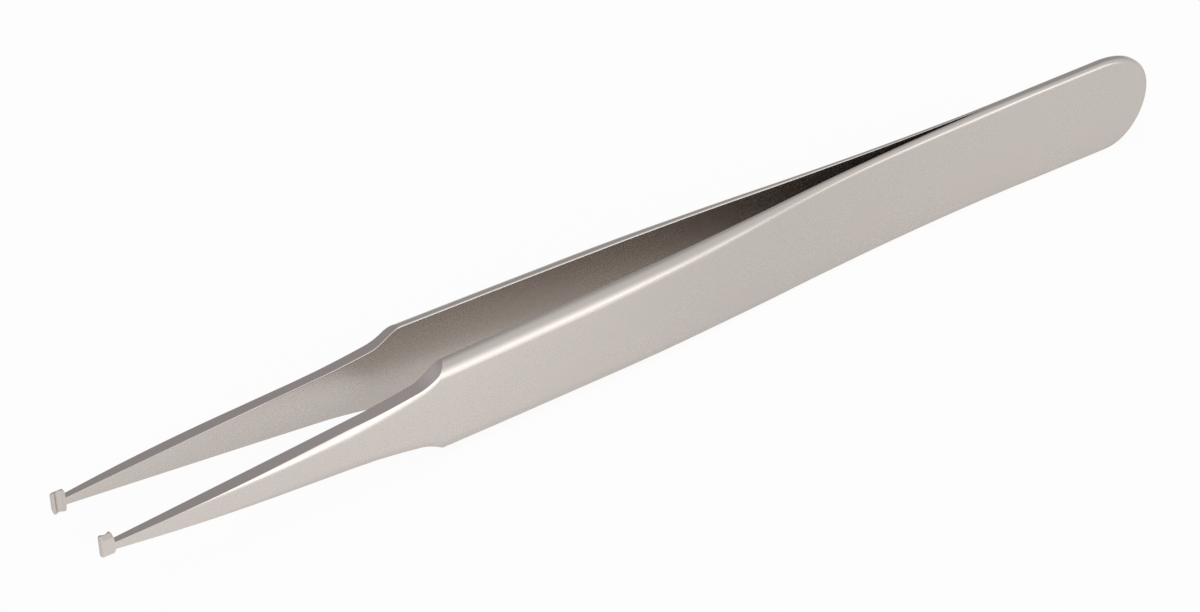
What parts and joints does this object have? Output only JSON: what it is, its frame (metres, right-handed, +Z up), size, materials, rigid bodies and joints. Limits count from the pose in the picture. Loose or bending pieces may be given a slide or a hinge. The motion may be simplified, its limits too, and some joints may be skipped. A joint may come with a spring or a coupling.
{
  "type": "smd tweezers",
  "caption": "Spring tweezers for cylindrical surface-mount components: welded flat heel, rounded blades, shouldered tapering shanks and small channelled jaws.",
  "frame": {"origin": "bottom centre of the whole tool's box, standing on its long edges", "axes": "+X from the jaws to the heel, -Y to the near arm, +Y to the far arm, +Z up across the height of the blades"},
  "size_m": [0.12, 0.011, 0.0098],
  "materials": {
    "blade_steel": "satin ground stainless steel",
    "weld_steel": "fused, hidden between the leaves"
  },
  "bodies": {
    "heel": {"near_heel_leaf": "blade_steel", "far_heel_leaf": "blade_steel", "weld_nuggets": "weld_steel"},
    "near_arm": {"near_arm": "blade_steel"},
    "far_arm": {"far_arm": "blade_steel"}
  },
  "joints": [
    {"name": "near_arm_flex", "type": "hinge", "parent": "heel", "child": "near_arm", "pos_m": [0.03002, -0.00077, 0.00487], "axis": [0, 0, -1], "range_deg": [0, 2.66], "stiffness_Nm_per_rad": 1.7},
    {"name": "far_arm_flex", "type": "hinge", "parent": "heel", "child": "far_arm", "pos_m": [0.03002, 0.00077, 0.00487], "axis": [0, 0, 1], "range_deg": [0, 2.66], "stiffness_Nm_per_rad": 1.7}
  ]
}
